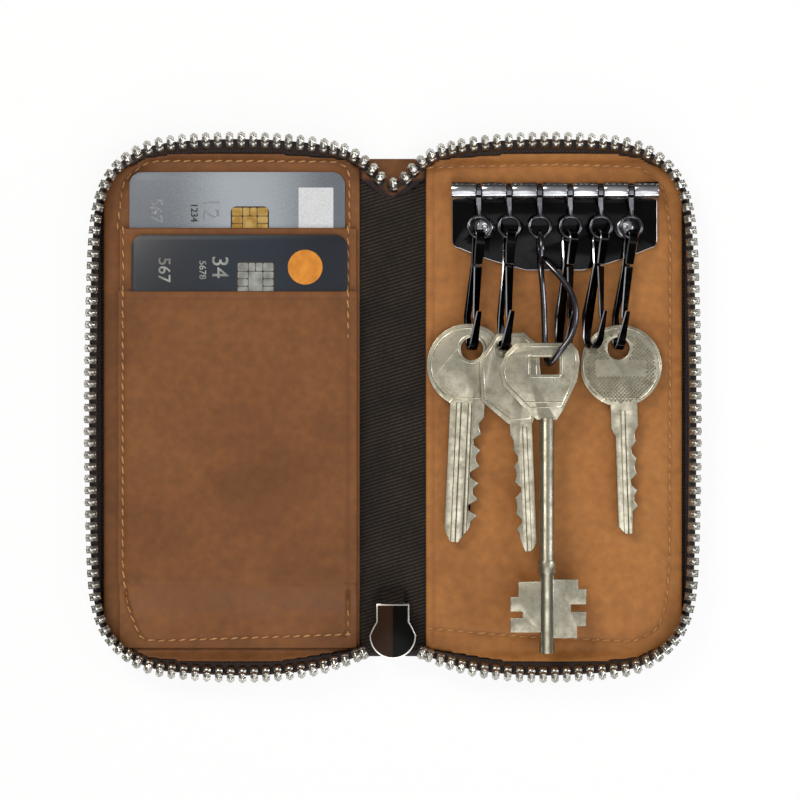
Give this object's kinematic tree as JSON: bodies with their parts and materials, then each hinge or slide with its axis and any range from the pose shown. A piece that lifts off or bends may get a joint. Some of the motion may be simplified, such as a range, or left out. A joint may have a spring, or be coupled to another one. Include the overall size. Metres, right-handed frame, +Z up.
{
  "type": "zip-around key and card wallet",
  "caption": "Zip-around leather wallet lying open: card slots on one half, a rail of hinged key hooks with keys on the other.",
  "frame": {"origin": "middle of the spine on the outer face of the leather, which rests on the table", "axes": "+X towards the key half, +Y towards the key rail end, +Z up out of the open case"},
  "size_m": [0.1536, 0.137, 0.013],
  "materials": {
    "outer_leather": "satin pull-up leather, tan brown",
    "panel_leather": "satin leather, lighter tan",
    "pocket_leather": "satin leather, mid brown",
    "lining_cloth": "ribbed twill, charcoal",
    "zip_tape": "woven tape, dark brown",
    "zip_metal": "antique nickel",
    "slider_metal": "polished dark nickel",
    "hook_metal": "polished black nickel",
    "key_metal": "worn nickel silver",
    "card_grey": "satin silver-grey",
    "card_dark": "satin dark slate"
  },
  "bodies": {
    "right_half": {"cover_right": "outer_leather", "lining_right": "lining_cloth", "key_panel": "panel_leather", "zip_tape_right": "zip_tape", "zip_teeth_right": "zip_metal", "rail_plate": "hook_metal", "rail_rod": "hook_metal", "rail_rivets": "hook_metal"},
    "spine": {"cover_spine": "outer_leather", "lining_spine": "lining_cloth", "zip_tape_spine": "zip_tape", "zip_teeth_spine": "zip_metal", "zip_tail": "zip_metal"},
    "left_half": {"cover_left": "outer_leather", "lining_left": "lining_cloth", "pocket_back": "pocket_leather", "card_slot_panel": "pocket_leather", "front_pocket": "pocket_leather", "zip_tape_left": "zip_tape", "zip_teeth_left": "zip_metal"},
    "slider": {"zip_slider": "slider_metal"},
    "pull_tab": {"pull_tab": "slider_metal"},
    "card_upper": {"card_upper": "card_grey"},
    "card_lower": {"card_lower": "card_dark"},
    "link_1": {"link_1": "hook_metal"},
    "link_2": {"link_2": "hook_metal"},
    "link_3": {"link_3": "hook_metal"},
    "link_4": {"link_4": "hook_metal"},
    "link_5": {"link_5": "hook_metal"},
    "link_6": {"link_6": "hook_metal"},
    "clip_1": {"clip_1": "hook_metal"},
    "clip_2": {"clip_2": "hook_metal"},
    "clip_3": {"clip_3": "hook_metal"},
    "clip_4": {"clip_4": "hook_metal"},
    "clip_5": {"clip_5": "hook_metal"},
    "clip_6": {"clip_6": "hook_metal"},
    "gate_1": {"gate_1": "hook_metal"},
    "gate_2": {"gate_2": "hook_metal"},
    "gate_4": {"gate_4": "hook_metal"},
    "gate_5": {"gate_5": "hook_metal"},
    "gate_6": {"gate_6": "hook_metal"},
    "key_1": {"key_1": "key_metal"},
    "key_2": {"key_2": "key_metal"},
    "key_3": {"key_3": "key_metal"},
    "key_4": {"key_4": "key_metal"}
  },
  "joints": [
    {"name": "spine_fold", "type": "hinge", "parent": "right_half", "child": "spine", "pos_m": [0.008, 0, 0.0018], "axis": [0, 1, 0], "range_deg": [0, 90], "deforming": ["zip_tape_spine", "zip_teeth_spine"]},
    {"name": "left_fold", "type": "hinge", "parent": "spine", "child": "left_half", "pos_m": [-0.008, 0, 0.0018], "axis": [0, 1, 0], "range_deg": [0, 90], "deforming": ["zip_tape_spine", "zip_teeth_spine"]},
    {"name": "slider_travel", "type": "slide", "parent": "spine", "child": "slider", "axis": [0, -1, 0], "range_m": [0, 0.006]},
    {"name": "pull_tab_swing", "type": "hinge", "parent": "slider", "child": "pull_tab", "pos_m": [0, -0.053, 0.0027], "axis": [1, 0, 0], "range_deg": [0, 90]},
    {"name": "card_upper_slide", "type": "slide", "parent": "left_half", "child": "card_upper", "axis": [0, 1, 0], "range_m": [0, 0.0015]},
    {"name": "card_lower_slide", "type": "slide", "parent": "left_half", "child": "card_lower", "axis": [0, 1, 0], "range_m": [0, 0.017]},
    {"name": "link_1_lift", "type": "hinge", "parent": "right_half", "child": "link_1", "pos_m": [0.02145, 0.0542, 0.0054], "axis": [1, 0, 0], "range_deg": [-80, 0]},
    {"name": "link_2_lift", "type": "hinge", "parent": "right_half", "child": "link_2", "pos_m": [0.02907, 0.0542, 0.0054], "axis": [1, 0, 0], "range_deg": [-80, 0]},
    {"name": "link_3_lift", "type": "hinge", "parent": "right_half", "child": "link_3", "pos_m": [0.03669, 0.0542, 0.0054], "axis": [1, 0, 0], "range_deg": [-80, 0]},
    {"name": "link_4_lift", "type": "hinge", "parent": "right_half", "child": "link_4", "pos_m": [0.04431, 0.0542, 0.0054], "axis": [1, 0, 0], "range_deg": [-80, 0]},
    {"name": "link_5_lift", "type": "hinge", "parent": "right_half", "child": "link_5", "pos_m": [0.05193, 0.0542, 0.0054], "axis": [1, 0, 0], "range_deg": [-80, 0]},
    {"name": "link_6_lift", "type": "hinge", "parent": "right_half", "child": "link_6", "pos_m": [0.05955, 0.0542, 0.0054], "axis": [1, 0, 0], "range_deg": [-80, 0]},
    {"name": "clip_1_lift", "type": "hinge", "parent": "link_1", "child": "clip_1", "pos_m": [0.02145, 0.0425, 0.0069], "axis": [1, 0, 0], "range_deg": [-55, 0]},
    {"name": "clip_2_lift", "type": "hinge", "parent": "link_2", "child": "clip_2", "pos_m": [0.02907, 0.0425, 0.0069], "axis": [1, 0, 0], "range_deg": [-55, 0]},
    {"name": "clip_3_lift", "type": "hinge", "parent": "link_3", "child": "clip_3", "pos_m": [0.03669, 0.0425, 0.0069], "axis": [1, 0, 0], "range_deg": [-55, 0]},
    {"name": "clip_4_lift", "type": "hinge", "parent": "link_4", "child": "clip_4", "pos_m": [0.04431, 0.0425, 0.0069], "axis": [1, 0, 0], "range_deg": [-55, 0]},
    {"name": "clip_5_lift", "type": "hinge", "parent": "link_5", "child": "clip_5", "pos_m": [0.05193, 0.0425, 0.0069], "axis": [1, 0, 0], "range_deg": [-55, 0]},
    {"name": "clip_6_lift", "type": "hinge", "parent": "link_6", "child": "clip_6", "pos_m": [0.05955, 0.0425, 0.0069], "axis": [1, 0, 0], "range_deg": [-55, 0]},
    {"name": "gate_1_press", "type": "hinge", "parent": "clip_1", "child": "gate_1", "pos_m": [0.02114, 0.03517, 0.00713], "axis": [0.983, -0.0475, -0.1774], "range_deg": [0, 5.5], "stiffness_Nm_per_rad": 0.004},
    {"name": "gate_2_press", "type": "hinge", "parent": "clip_2", "child": "gate_2", "pos_m": [0.02881, 0.03525, 0.008], "axis": [0.9834, -0.0614, -0.1708], "range_deg": [0, 5.5], "stiffness_Nm_per_rad": 0.004},
    {"name": "gate_4_press", "type": "hinge", "parent": "clip_4", "child": "gate_4", "pos_m": [0.04415, 0.03517, 0.00731], "axis": [0.9255, -0.0415, -0.3765], "range_deg": [0, 5.5], "stiffness_Nm_per_rad": 0.004},
    {"name": "gate_5_press", "type": "hinge", "parent": "clip_5", "child": "gate_5", "pos_m": [0.05164, 0.03529, 0.00826], "axis": [0.9243, -0.1068, -0.3664], "range_deg": [0, 5.5], "stiffness_Nm_per_rad": 0.004},
    {"name": "gate_6_press", "type": "hinge", "parent": "clip_6", "child": "gate_6", "pos_m": [0.05885, 0.0352, 0.00713], "axis": [0.9784, -0.1001, -0.1811], "range_deg": [0, 5.5], "stiffness_Nm_per_rad": 0.004},
    {"name": "key_1_swing", "type": "hinge", "parent": "clip_1", "child": "key_1", "pos_m": [0.01975, 0.01462, 0.00527], "axis": [0, 0, 1], "range_deg": [-4, 4]},
    {"name": "key_2_swing", "type": "hinge", "parent": "clip_2", "child": "key_2", "pos_m": [0.02757, 0.01457, 0.00807], "axis": [0, 0, 1], "range_deg": [-4, 0]},
    {"name": "key_3_swing", "type": "hinge", "parent": "clip_3", "child": "key_3", "pos_m": [0.03889, 0.0109, 0.01025], "axis": [0, 0, 1], "range_deg": [0, 4]},
    {"name": "key_4_swing", "type": "hinge", "parent": "clip_6", "child": "key_4", "pos_m": [0.05635, 0.01475, 0.00527], "axis": [0, 0, 1], "range_deg": [-6, 6]}
  ],
  "couplings": [
    {"joint": "link_1_lift", "follows": "link_3_lift", "ratio": 1},
    {"joint": "clip_1_lift", "follows": "clip_3_lift", "ratio": 1},
    {"joint": "link_2_lift", "follows": "link_3_lift", "ratio": 1},
    {"joint": "clip_2_lift", "follows": "clip_3_lift", "ratio": 1},
    {"joint": "link_4_lift", "follows": "link_3_lift", "ratio": 1},
    {"joint": "clip_4_lift", "follows": "clip_3_lift", "ratio": 1},
    {"joint": "link_5_lift", "follows": "link_6_lift", "ratio": 1},
    {"joint": "clip_5_lift", "follows": "clip_6_lift", "ratio": 1}
  ]
}
